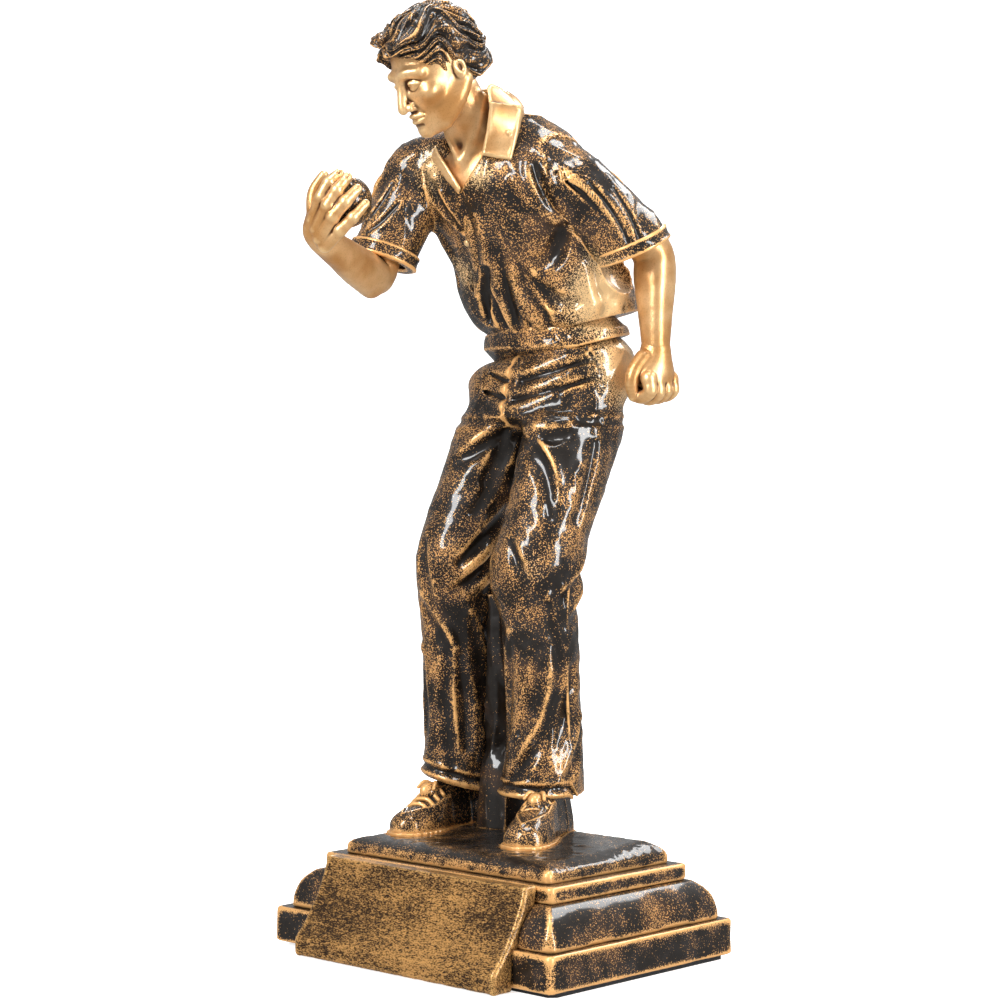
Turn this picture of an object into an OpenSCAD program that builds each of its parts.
// Bowling trophy: a standing bowler, cast in sections, on a stepped plinth with a blank sloping plaque.
// Millimetres. +Z is up, the front faces -Y, and the origin is the centre of the plinth's underside.

/* [Plinth] */
// Width of the bottom slab, along X
slab_w = 93; // [89:1:100]
// Depth of the bottom slab, along Y
slab_d = 66.6; // [65:0.2:76]
// Thickness of the felt under the slab
felt_t = 1; // [0.6:0.1:1.4]
// Height of the slab's top above the table
slab_top = 9.8; // [9:0.1:10.5]
// Height of the curved moulding's top above the table
moulding_top = 19.5; // [19:0.1:20]
// Height of the step's top above the table
step_top = 23.5; // [23:0.1:24]
// How far the moulding stands in from the slab's edge
moulding_inset = 2.1; // [1.5:0.1:3]
// Radius of the moulding's curved face
moulding_r = 11.4; // [10.6:0.1:12.4]
// How far the step stands in from the slab's edge
step_inset = 8; // [7.6:0.1:8.8]
// How far the top plate stands in from the slab's edge
plate_inset = 11.8; // [11:0.1:12.6]
// Height of the top plate's crown above the table
crown_top = 27.9; // [27.6:0.1:28.2]

/* [Plaque] */
// Width of the sloping plaque block
plaque_w = 68; // [56:1:76]
// How far the plaque's lip stands out in front of the slab
plaque_out = 6.4; // [5:0.2:8]
// Height of the plaque's lip above the table
lip_top = 5.6; // [4.5:0.1:7]
// Depth of the plaque face's hollow
plaque_hollow = 1.3; // [0.6:0.1:1.8]

/* [Fixings] */
// Radius of the steel rods that run up into the legs
rod_r = 1.25; // [1:0.05:1.5]
// Height of the rods' upper ends above the table
rod_top = 80; // [60:1:88]
// Radius of the dowel pins in the figure
pin_r = 0.8; // [0.6:0.05:1]
// Clearance round a rod or pin in its bore
bore_gap = 0.1; // [0.05:0.01:0.15]
// Distance across the flats of the rod nuts
nut_flats = 5; // [4:0.1:5.5]

/* [Ball] */
// Radius of the ball in the right hand
ball_r = 6.3; // [5.8:0.1:6.8]

/* [Hidden] */
$fn = 64;

BRONZE = [0.30, 0.21, 0.12];
DARK = [0.13, 0.11, 0.09];
GOLD = [0.80, 0.62, 0.38];
STEEL = [0.70, 0.71, 0.73];

tiny = 0.01;
round_sides = 20; // points round a garment's section
limb_sides = 16; // points round a sleeve's or shoe's section
limb_fn = 14; // facets round an arm's or finger's round ends

crown_r = 320;
plaque_back = -slab_d / 2;
lip_y = plaque_back - plaque_out;
plaque_crest = [-27, step_top];

rod_r_xy = [-25.5, 10.5];
rod_l_xy = [1.5, 13];
rod_foot = felt_t + 1;
pocket_r = 4.2;
pocket_top = 5.2;
washer_t = 0.5;
nut_t = 2;
dowel_r = 1.5;
sole_top = 28.6;
right_shoe_size = [34.5, 6]; // length and widest half width
left_shoe_size = [36, 6.3];

// The joints of the body, on its right side (R), its left side (L) or its middle line
R_ELBOW = [-31, -15, 169];
R_WRIST = [-21.5, -41.5, 175.4];
L_ELBOW = [20.6, 32.6, 175.4];
L_WRIST = [22.5, 31, 151];
BALL = [-16, -38.6, 184.2];
SKULL = [-11.1, -13.5, 219.8];
head_pitch = 28;
head_yaw = -15;
centre_seam_x = -7.9;

// Half widths of a sole from the heel (0) to the toe (1), as shares of its widest half width
SOLE = [
    [0, 0], [0.01, 0.32], [0.05, 0.6], [0.12, 0.74], [0.25, 0.76], [0.4, 0.72],
    [0.52, 0.84], [0.66, 1], [0.78, 1], [0.88, 0.86], [0.95, 0.6], [0.985, 0.34], [1, 0]
];

// Stations of the garments, each [x, y, height, half width, half depth, turn about Z]
RIGHT_LEG = [
    [-26.6, 10.6, 34.6, 9, 11, 0],
    [-26.4, 10.6, 41, 8.6, 10.4, 0],
    [-25.8, 10.4, 55, 8.4, 9.6, 0],
    [-24.6, 8.4, 75, 8.6, 9.6, 0],
    [-22.8, 5.4, 95, 9.4, 10.2, 0],
    [-21.4, 9.4, 108, 10.2, 11.4, 0],
    [-20, 16.2, 122, 10.8, 12.8, 0],
    [-19.2, 21.4, 133.5, 11, 14, 0]
];
LEFT_LEG = [
    [0.6, 13.4, 38.4, 10.4, 12, 24],
    [0.8, 13.2, 43, 10, 11.2, 20],
    [2, 12.2, 57, 9.2, 10.4, 15],
    [3.2, 9.4, 76, 9.2, 10, 10],
    [4.6, 7.4, 96, 10.2, 10.8, 5],
    [4.6, 11.6, 108, 10.8, 12, 0],
    [4.2, 17.8, 122, 11.2, 13.6, 0],
    [3.8, 22.8, 133.5, 11.2, 14.8, 0]
];
SEAT = [
    [-7.8, 21.6, 131.6, 22.6, 14.6, 0],
    [-7.6, 25, 140, 23.4, 15.8, 0],
    [-7.6, 26, 147, 22, 14.8, 0],
    [-7.6, 25.8, 150.4, 20.6, 13.8, 0]
];
WAIST = [
    [-7.6, 25.8, 150.5, 21, 14.2, 0],
    [-7.6, 25.4, 155.4, 20.2, 13.6, 0]
];
SHIRT = [
    [-7.6, 25.4, 155.5, 20, 13.4, 0],
    [-7.4, 25, 158.5, 22, 15.2, 4],
    [-7.2, 22, 166, 22.4, 15.8, 8],
    [-7.6, 17.2, 175, 22.2, 15.6, 13],
    [-8.4, 11.4, 184, 23, 15.2, 18],
    [-8.8, 8, 191.5, 22.6, 13.8, 20],
    [-8.8, 6.8, 197.5, 20, 11.6, 22],
    [-7.8, 8.6, 202.5, 15.8, 8.6, 22],
    [-7, 9.6, 206.8, 9.4, 5.4, 22],
    [-6.8, 10, 208.4, 4.6, 2.8, 22]
];

// Stations of the sleeves and the neck, each [x, y, z, half width, half depth], square to their own course
RIGHT_SLEEVE = [
    [-21, 1, 198, 7, 7.4],
    [-28, -2.4, 195, 8.2, 8.6],
    [-28.6, -5.4, 188, 8.2, 8.6],
    [-30.2, -8.8, 180, 8, 8.2],
    [-31.2, -10.4, 176.2, 8, 8]
];
RIGHT_HEM = [
    [-31.2, -10.5, 176.1, 8.4, 8.4],
    [-31.6, -11.4, 173.2, 8.4, 8.4]
];
LEFT_SLEEVE = [
    [5, 11.5, 198, 7, 7.6],
    [11.6, 14, 194, 8.2, 8.6],
    [16, 18.5, 187, 8.8, 9],
    [19, 22.5, 180, 9.2, 9.4],
    [19.6, 24, 177, 9.2, 9.4]
];
LEFT_HEM = [
    [19.7, 24.1, 176.9, 9.6, 9.8],
    [20.2, 25.4, 174, 9.6, 9.8]
];
NECK = [
    [-9.2, 4.6, 197, 7.2, 7.2],
    [-9.6, 0.4, 203, 6.4, 6.6],
    [-10, -3.6, 208, 6, 6.2],
    [-10.4, -6.6, 212, 6, 6.2]
];

// Stations of the head about the skull's centre, each [x, y, z, half width, half depth, turn]
HEAD = [
    [0, -8.6, -16, 2.6, 1.8, 0],
    [0, -7.4, -14.4, 5.2, 4.2, 0],
    [0, -4.6, -10.5, 7.2, 7.6, 0],
    [0, -1.6, -5.5, 8.6, 10.6, 0],
    [0, -0.6, 0, 9.4, 11.8, 0],
    [0, 0, 5, 9.4, 11.8, 0],
    [0, 0.4, 9.4, 7.6, 9.4, 0],
    [0, 0.6, 12, 4, 5, 0]
];
HAIR = [
    [0, 8.6, -7, 5.4, 3.4, 0],
    [0, 6.6, -4, 8.6, 6.4, 0],
    [0, 4, 0.5, 10.2, 9.8, 0],
    [0, 0, 5.4, 10.8, 13, 0],
    [0, -1.4, 10, 9.8, 13.6, 0],
    [0, -1.6, 13.2, 7, 11, 0],
    [0, -1.2, 14.8, 3.6, 6, 0]
];

function unit(v) = v / norm(v);
function place(s) = [s[0], s[1], s[2]];

// A point between stations b and c, on a smooth curve through a, b, c and d
function between(a, b, c, d, t) =
    0.5 * (2 * b + (c - a) * t + (2 * a - 5 * b + 4 * c - d) * t * t + (3 * b - a - 3 * c + d) * t * t * t);

// The stations with more stations between them, on a smooth curve
function smooth(s, steps) = [
    for (i = [0 : len(s) - 2], k = [0 : steps - 1])
        between(s[max(i - 1, 0)], s[i], s[i + 1], s[min(i + 2, len(s) - 1)], k / steps),
    s[len(s) - 1]
];

// A level ring of n points round a station
function level_ring(s, n) = [
    for (i = [0 : n - 1])
        let (u = s[3] * cos(360 * i / n), v = s[4] * sin(360 * i / n))
            [s[0] + u * cos(s[5]) - v * sin(s[5]), s[1] + u * sin(s[5]) + v * cos(s[5]), s[2]]
];
function level_rings(s, n) = [for (station = s) level_ring(station, n)];

// Rings that stand square to the course of a limb
function course(s, i) = unit(place(s[min(i + 1, len(s) - 1)]) - place(s[max(i - 1, 0)]));
function limb_ring(s, d, n) =
    let (u = unit(cross([0, 0, 1], d)), w = cross(d, u))
        [for (i = [0 : n - 1]) place(s) + u * s[3] * cos(360 * i / n) + w * s[4] * sin(360 * i / n)];
function limb_rings(s, n) = [for (i = [0 : len(s) - 1]) limb_ring(s[i], course(s, i), n)];

// A closed skin over a list of rings that all have the same number of points
module skin(rings) {
    n = len(rings[0]);
    m = len(rings);
    sides = [
        for (j = [0 : m - 2], i = [0 : n - 1])
            let (a = j * n + i, b = j * n + (i + 1) % n)
                each [[a, a + n, b], [b, a + n, b + n]]
    ];
    bottom = [for (i = [0 : n - 1]) i];
    top = [for (i = [n - 1 : -1 : 0]) (m - 1) * n + i];
    polyhedron([for (ring = rings) each ring], concat(sides, [bottom, top]));
}

// A round bar from one point to another
module bar(from, to, r) {
    d = to - from;
    translate(from)
        rotate([0, acos(d[2] / norm(d)), atan2(d[1], d[0])])
            cylinder(h = norm(d), r = r);
}

// A tapering limb with round ends
module limb(from, to, r_from, r_to) {
    hull() {
        translate(from) sphere(r = r_from, $fn = limb_fn);
        translate(to) sphere(r = r_to, $fn = limb_fn);
    }
}

// A level block with bevelled upright corners
module block(w, d, low, high, bevel) {
    x = w / 2;
    y = d / 2;
    translate([0, 0, low])
        linear_extrude(high - low)
            polygon([
                [x - bevel, -y], [x, bevel - y], [x, y - bevel], [x - bevel, y],
                [bevel - x, y], [-x, y - bevel], [-x, bevel - y], [bevel - x, -y]
            ]);
}

// Bores and pockets for the two leg rods
module at_rods() {
    for (p = [rod_r_xy, rod_l_xy])
        translate([p[0], p[1], 0]) children();
}
module rod_bores(low, high) {
    at_rods() translate([0, 0, low - tiny]) cylinder(h = high - low + 2 * tiny, r = rod_r + bore_gap);
}

// ---- Plinth ----

module felt_pad() {
    color(DARK) block(slab_w - 4, slab_d - 4, 0, felt_t, 1.5);
}

module plinth_slab() {
    color(BRONZE)
        difference() {
            block(slab_w, slab_d, felt_t, slab_top, 0.9);
            rod_bores(felt_t, slab_top);
            at_rods() translate([0, 0, felt_t - tiny]) cylinder(h = pocket_top - felt_t, r = pocket_r);
            plaque_pin_bores();
        }
}

// The moulding's outline across one axis: upright at the foot, round at the shoulder
module moulding_outline(half) {
    h = moulding_top - slab_top;
    intersection() {
        translate([-half, 0]) square([2 * half, h]);
        union() {
            for (side = [-1, 1])
                translate([side * (half - moulding_r), 0]) circle(r = moulding_r);
            translate([moulding_r - half, 0]) square([2 * (half - moulding_r), h]);
        }
    }
}

module moulding_block() {
    x = slab_w / 2 - moulding_inset;
    y = slab_d / 2 - moulding_inset;
    translate([0, 0, slab_top])
        intersection() {
            rotate([90, 0, 0]) translate([0, 0, -y]) linear_extrude(2 * y) moulding_outline(x);
            rotate([90, 0, 90]) translate([0, 0, -x]) linear_extrude(2 * x) moulding_outline(y);
        }
}

module plinth_moulding() {
    color(BRONZE)
        difference() {
            moulding_block();
            rod_bores(slab_top, moulding_top);
        }
}

module plinth_step() {
    color(BRONZE)
        difference() {
            block(slab_w - 2 * step_inset, slab_d - 2 * step_inset - 1, moulding_top, step_top, 0.6);
            rod_bores(moulding_top, step_top);
        }
}

// The shallow crown that the shoes stand on, as a ball far larger than the plinth
module crown() {
    translate([0, 0, crown_top - crown_r]) sphere(r = crown_r, $fn = 200);
}

module top_plate() {
    color(DARK)
        difference() {
            intersection() {
                block(slab_w - 2 * plate_inset, slab_d - 2 * plate_inset + 1.2, step_top, crown_top + 1, 0.8);
                crown();
            }
            rod_bores(step_top, crown_top);
            right_sole_blank();
            left_sole_blank();
        }
}

// ---- Plaque ----

module plaque_side() {
    lip = [lip_y + 0.5, lip_top];
    chord = plaque_crest - lip;
    reach = norm(chord) / 2;
    hollow_r = (reach * reach + plaque_hollow * plaque_hollow) / (2 * plaque_hollow);
    outward = [-chord[1], chord[0]] / norm(chord);
    hollow_centre = (lip + plaque_crest) / 2 + outward * (hollow_r - plaque_hollow);
    difference() {
        polygon([
            [plaque_back, 0.3], [lip_y + 0.7, 0.3], [lip_y, 1], [lip_y, lip_top - 0.7],
            [lip_y + 0.2, lip_top - 0.2], lip, plaque_crest, [-23, step_top], [-23, slab_top]
        ]);
        translate(hollow_centre) circle(r = hollow_r, $fn = 180);
    }
}

module plaque_panel() {
    color(BRONZE)
        difference() {
            translate([-plaque_w / 2, 0, 0]) rotate([90, 0, 90]) linear_extrude(plaque_w) plaque_side();
            block(slab_w, slab_d, 0, slab_top, 0.9);
            moulding_block();
            block(slab_w - 2 * step_inset, slab_d - 2 * step_inset - 1, moulding_top, step_top + 1, 0.6);
            plaque_pin_bores();
        }
}

// The two dowels that hold the plaque block against the slab
module at_plaque_pins() {
    for (x = [-22, 22])
        translate([x, plaque_back - 3.5, 5]) rotate([-90, 0, 0]) children();
}
module plaque_pin_bores() {
    at_plaque_pins() cylinder(h = 10, r = dowel_r + bore_gap / 2);
}
module plaque_pins() {
    color(STEEL) at_plaque_pins() translate([0, 0, 0.2]) cylinder(h = 9.4, r = dowel_r);
}

// ---- Fixings ----

module leg_rods() {
    color(STEEL) at_rods() translate([0, 0, rod_foot]) cylinder(h = rod_top - rod_foot, r = rod_r);
}

module rod_washers() {
    color(STEEL)
        at_rods()
            translate([0, 0, pocket_top - tiny - washer_t])
                difference() {
                    cylinder(h = washer_t, r = 3.2);
                    translate([0, 0, -tiny]) cylinder(h = washer_t + 2 * tiny, r = rod_r + bore_gap);
                }
}

module rod_nuts() {
    color(STEEL)
        at_rods()
            translate([0, 0, pocket_top - 2 * tiny - washer_t - nut_t])
                difference() {
                    cylinder(h = nut_t, r = nut_flats / sqrt(3), $fn = 6);
                    translate([0, 0, -tiny]) cylinder(h = nut_t + 2 * tiny, r = rod_r + bore_gap / 5);
                }
}

// The rough post behind the legs that stiffens the casting
module support_post() {
    color(DARK)
        difference() {
            skin(level_rings([
                [-14, 14, 25, 4.4, 4.6, 10],
                [-14.2, 13.8, 34, 3.8, 4, 25],
                [-14.4, 13.6, 48, 3.2, 3.8, 5],
                [-14, 12.8, 64, 3.3, 3.6, 30],
                [-13, 11.6, 78, 3.2, 3.6, 12],
                [-12.6, 10.4, 88, 2.4, 2.8, 28]
            ], 8));
            crown();
        }
}

// ---- Shoes ----

module at_right_foot() {
    translate([-26.2, 1.8, 0]) rotate([0, 0, 4]) children();
}
module at_left_foot() {
    translate([6.3, 5.6, 0]) rotate([0, 0, 24]) children();
}

module sole(size, low) {
    length = size[0];
    half_width = size[1];
    right_edge = [for (s = SOLE) [s[1] * half_width, (0.5 - s[0]) * length]];
    left_edge = [for (i = [len(SOLE) - 2 : -1 : 1]) [-SOLE[i][1] * half_width, (0.5 - SOLE[i][0]) * length]];
    translate([0, 0, low]) linear_extrude(sole_top - low) polygon(concat(right_edge, left_edge));
}

module upper(size) {
    l = size[0] / 2;
    w = size[1];
    skin(level_rings(smooth([
        [0, 0.4, sole_top, w * 0.9, l * 0.95, 0],
        [0, 0.2, 30.6, w * 0.92, l * 0.96, 0],
        [0, 2, 33, w * 0.84, l * 0.84, 0],
        [0, 6, 36, w * 0.76, l * 0.6, 0],
        [0, 8.6, 40, w * 0.74, l * 0.44, 0]
    ], 2), limb_sides));
}

module laces(y_low, rise) {
    for (k = [0 : 3]) {
        y = y_low + k * 2.1;
        z = 33.3 + k * rise;
        bar([-2.6, y, z], [2.6, y + 1.2, z + 0.5], 0.5);
    }
}

// The soles are let into the crown, which falls away towards the plinth's edges
module right_sole_blank() {
    at_right_foot() sole(right_shoe_size, 25.7);
}
module left_sole_blank() {
    at_left_foot() sole(left_shoe_size, 26.6);
}
module right_sole() {
    color(DARK)
        difference() {
            right_sole_blank();
            rod_bores(24, 30);
        }
}
module left_sole() {
    color(DARK)
        difference() {
            left_sole_blank();
            rod_bores(24, 30);
        }
}
module right_shoe() {
    color(BRONZE)
        difference() {
            at_right_foot() upper(right_shoe_size);
            rod_bores(28, 42);
        }
}
module left_shoe() {
    color(BRONZE)
        difference() {
            at_left_foot() upper(left_shoe_size);
            rod_bores(28, 42);
        }
}
module right_laces() {
    color(GOLD) at_right_foot() laces(-8.5, 1.05);
}
module left_laces() {
    color(GOLD) at_left_foot() laces(-8.8, 1.05);
}

// ---- Trousers ----

// One half of the trousers: a leg, and the seat as far as the centre seam
module trouser_half(leg, side) {
    skin(level_rings(smooth(leg, 2), round_sides));
    intersection() {
        skin(level_rings(smooth(SEAT, 2), round_sides));
        translate([centre_seam_x + (side < 0 ? -60 : 0), -40, 120]) cube([60, 120, 60]);
    }
}
module right_trouser_half() {
    color(BRONZE)
        difference() {
            trouser_half(RIGHT_LEG, -1);
            at_right_foot() translate([0, 6, 33]) cylinder(h = 7.2, r = 7.8);
            rod_bores(33, rod_top + 1);
        }
}
module left_trouser_half() {
    color(BRONZE)
        difference() {
            trouser_half(LEFT_LEG, 1);
            at_left_foot() translate([0, 6, 36]) cylinder(h = 4.2, r = 8.2);
            rod_bores(33, rod_top + 1);
        }
}
module waistband() {
    color(DARK) skin(level_rings(WAIST, 32));
}

// ---- Shirt ----

module shirt_body() {
    color(BRONZE)
        difference() {
            skin(level_rings(smooth(SHIRT, 2), 24));
            neck_pin_bore();
        }
}
module right_sleeve() {
    color(BRONZE) skin(limb_rings(smooth(RIGHT_SLEEVE, 2), limb_sides));
}
module left_sleeve() {
    color(BRONZE) skin(limb_rings(smooth(LEFT_SLEEVE, 2), limb_sides));
}
module sleeve_hem(stations, elbow) {
    middle = (place(stations[0]) + place(stations[1])) / 2;
    difference() {
        skin(limb_rings(stations, 24));
        bar(middle, elbow, 5.6);
    }
}
module right_sleeve_hem() {
    color(DARK) sleeve_hem(RIGHT_HEM, R_ELBOW);
}
module left_sleeve_hem() {
    color(DARK) sleeve_hem(LEFT_HEM, L_ELBOW);
}

// The turned-down collar, open at the front
module collar() {
    color(GOLD)
        translate([-9, 1.4, 205.2])
            rotate([54, 0, 15])
                difference() {
                    translate([0, 0, -3.6]) cylinder(h = 7.6, r1 = 12.4, r2 = 8.4);
                    translate([0, 0, -3.7]) cylinder(h = 7.8, r1 = 11.2, r2 = 7.1);
                    translate([0, 0, -6])
                        linear_extrude(12) polygon([[0, -3], [-7, -16], [7, -16]]);
                }
}
module at_placket() {
    translate([-6.6, -5.2, 181]) rotate([24, 0, 17]) children();
}
module placket() {
    color(DARK) at_placket() translate([-2.4, -1.2, -7]) cube([4.8, 1.6, 14]);
}
module placket_button() {
    color(GOLD)
        at_placket()
            for (z = [-3.4, 2.6])
                translate([0, -1.2, z]) rotate([90, 0, 0]) cylinder(h = 0.5, r = 0.8);
}

// ---- Head ----

module at_head() {
    translate(SKULL) rotate([head_pitch, 0, head_yaw]) children();
}
module neck_pin_bore() {
    bar([-9.2, 6, 192], [-10.4, -8.8, 215], pin_r + bore_gap);
}
module neck_pin() {
    color(STEEL) bar([-9.25, 5.4, 193], [-10.36, -8.3, 214.2], pin_r);
}
module neck() {
    color(GOLD)
        difference() {
            skin(limb_rings(smooth(NECK, 2), limb_sides));
            neck_pin_bore();
        }
}

// A plain head of ordinary proportions, with a nose and two ears
module head() {
    color(GOLD)
        difference() {
            at_head() {
                skin(level_rings(smooth(HEAD, 2), round_sides));
                skin(level_rings([
                    [0, -12.4, -7.4, 1.9, 2.3, 0],
                    [0, -12.2, -5.6, 1.7, 2.1, 0],
                    [0, -11, -0.4, 0.9, 1.3, 0]
                ], 8));
                for (side = [-1, 1])
                    skin(level_rings([
                        [side * 8.8, 0.6, -5.4, 0.8, 0.9, side * 20],
                        [side * 9.6, 1, -2.6, 1, 1.7, side * 20],
                        [side * 10, 1.4, 0.4, 1, 2, side * 20],
                        [side * 9.8, 1.4, 1.8, 0.7, 1.2, side * 20]
                    ], 8));
            }
            neck_pin_bore();
        }
}
module hair() {
    color(DARK)
        difference() {
            at_head() skin(level_rings(smooth(HAIR, 2), round_sides));
            at_head() skin(level_rings(smooth(HEAD, 2), round_sides));
        }
}

// ---- Arms ----

module right_forearm() {
    color(GOLD)
        difference() {
            union() {
                limb(R_ELBOW, [-31.2, -12, 175.4], 5, 5);
                limb(R_ELBOW, R_WRIST, 5, 3.6);
            }
            right_arm_bore();
        }
}
module left_forearm() {
    color(GOLD)
        difference() {
            union() {
                limb(L_ELBOW, [20, 27.6, 178], 5.2, 5.2);
                limb(L_ELBOW, L_WRIST, 5.2, 3.7);
            }
            left_arm_bore();
        }
}

// Pins across the joints between the sleeves and the forearms
module right_arm_bore() {
    bar([-30.2, -8.2, 184], [-31.2, -13.2, 171.6], pin_r + bore_gap);
}
module left_arm_bore() {
    bar([18.6, 21, 184], [20.2, 29.4, 176.4], pin_r + bore_gap);
}
module arm_pins() {
    color(STEEL) {
        bar([-30.25, -8.44, 183.4], [-31.15, -12.96, 172.2], pin_r);
        bar([18.7, 21.5, 183.5], [20.1, 28.9, 176.9], pin_r);
    }
}

// A finger as three joints from the knuckle to the tip
module finger(a, b, c, d) {
    limb(a, b, 1.6, 1.5);
    limb(b, c, 1.5, 1.35);
    limb(c, d, 1.35, 1.1);
}

// The right hand stands behind the ball, with its fingers curled over the top
module right_hand() {
    palm = BALL + [-5.6, -4.8, -1.4];
    color(GOLD)
        difference() {
            union() {
                limb(R_WRIST, palm, 3.5, 4);
                limb(palm + [-2.2, 2.6, 0], palm + [2.4, -2.4, 2], 3, 3);
                for (k = [0 : 3])
                    let (side = [-0.66, 0.76, 0] * (1.5 - k) * 2.7, top = BALL + side * 0.8)
                        finger(
                            palm + side + [-0.4, -0.4, 3.4],
                            top + [-5.4, -4.8, 5],
                            top + [-3.6, -3.2, 7.2],
                            top + [0.4, 0, 7.7]
                        );
                finger(palm + [1.6, -2.4, -1], palm + [4.6, -3.6, 1], BALL + [2.6, -6.4, 1], BALL + [4, -5.6, 3.4]);
            }
            translate(BALL) sphere(r = ball_r);
        }
}

// The left hand hangs as a loose fist
module left_hand() {
    palm = L_WRIST + [0, -0.6, -6.6];
    color(GOLD) {
        limb(L_WRIST, palm, 3.6, 4.2);
        limb(palm + [0, -3, -1], palm + [0, 3.4, -1.4], 3.2, 3.2);
        for (k = [0 : 3])
            let (root = palm + [1.8, -4.2 + 2.9 * k, -3.4])
                finger(root, root + [-0.4, -0.2, -3.8], root + [-3.6, -0.2, -4.2], root + [-4.6, 0, -1.4]);
        finger(palm + [-0.6, -4.2, 2], palm + [-1.2, -6, -1.6], palm + [-1.4, -5.8, -4], palm + [-1.2, -4.6, -6.4]);
    }
}

// ---- Ball ----

module ball_pin_bore() {
    bar(BALL + [-5.4, -4.6, -1.2], BALL + [-0.6, -0.6, 0], pin_r + bore_gap);
}
module bowling_ball() {
    color(BRONZE)
        difference() {
            translate(BALL) sphere(r = ball_r);
            ball_pin_bore();
        }
}
module ball_pin() {
    color(STEEL) bar(BALL + [-5, -4.26, -1.1], BALL + [-1, -0.9, -0.1], pin_r);
}

felt_pad();
plinth_slab();
plinth_moulding();
plinth_step();
top_plate();
plaque_panel();
plaque_pins();
leg_rods();
rod_washers();
rod_nuts();
support_post();
right_sole();
left_sole();
right_shoe();
left_shoe();
right_laces();
left_laces();
right_trouser_half();
left_trouser_half();
waistband();
shirt_body();
right_sleeve();
left_sleeve();
right_sleeve_hem();
left_sleeve_hem();
collar();
placket();
placket_button();
neck();
neck_pin();
head();
hair();
right_forearm();
left_forearm();
right_hand();
left_hand();
arm_pins();
bowling_ball();
ball_pin();
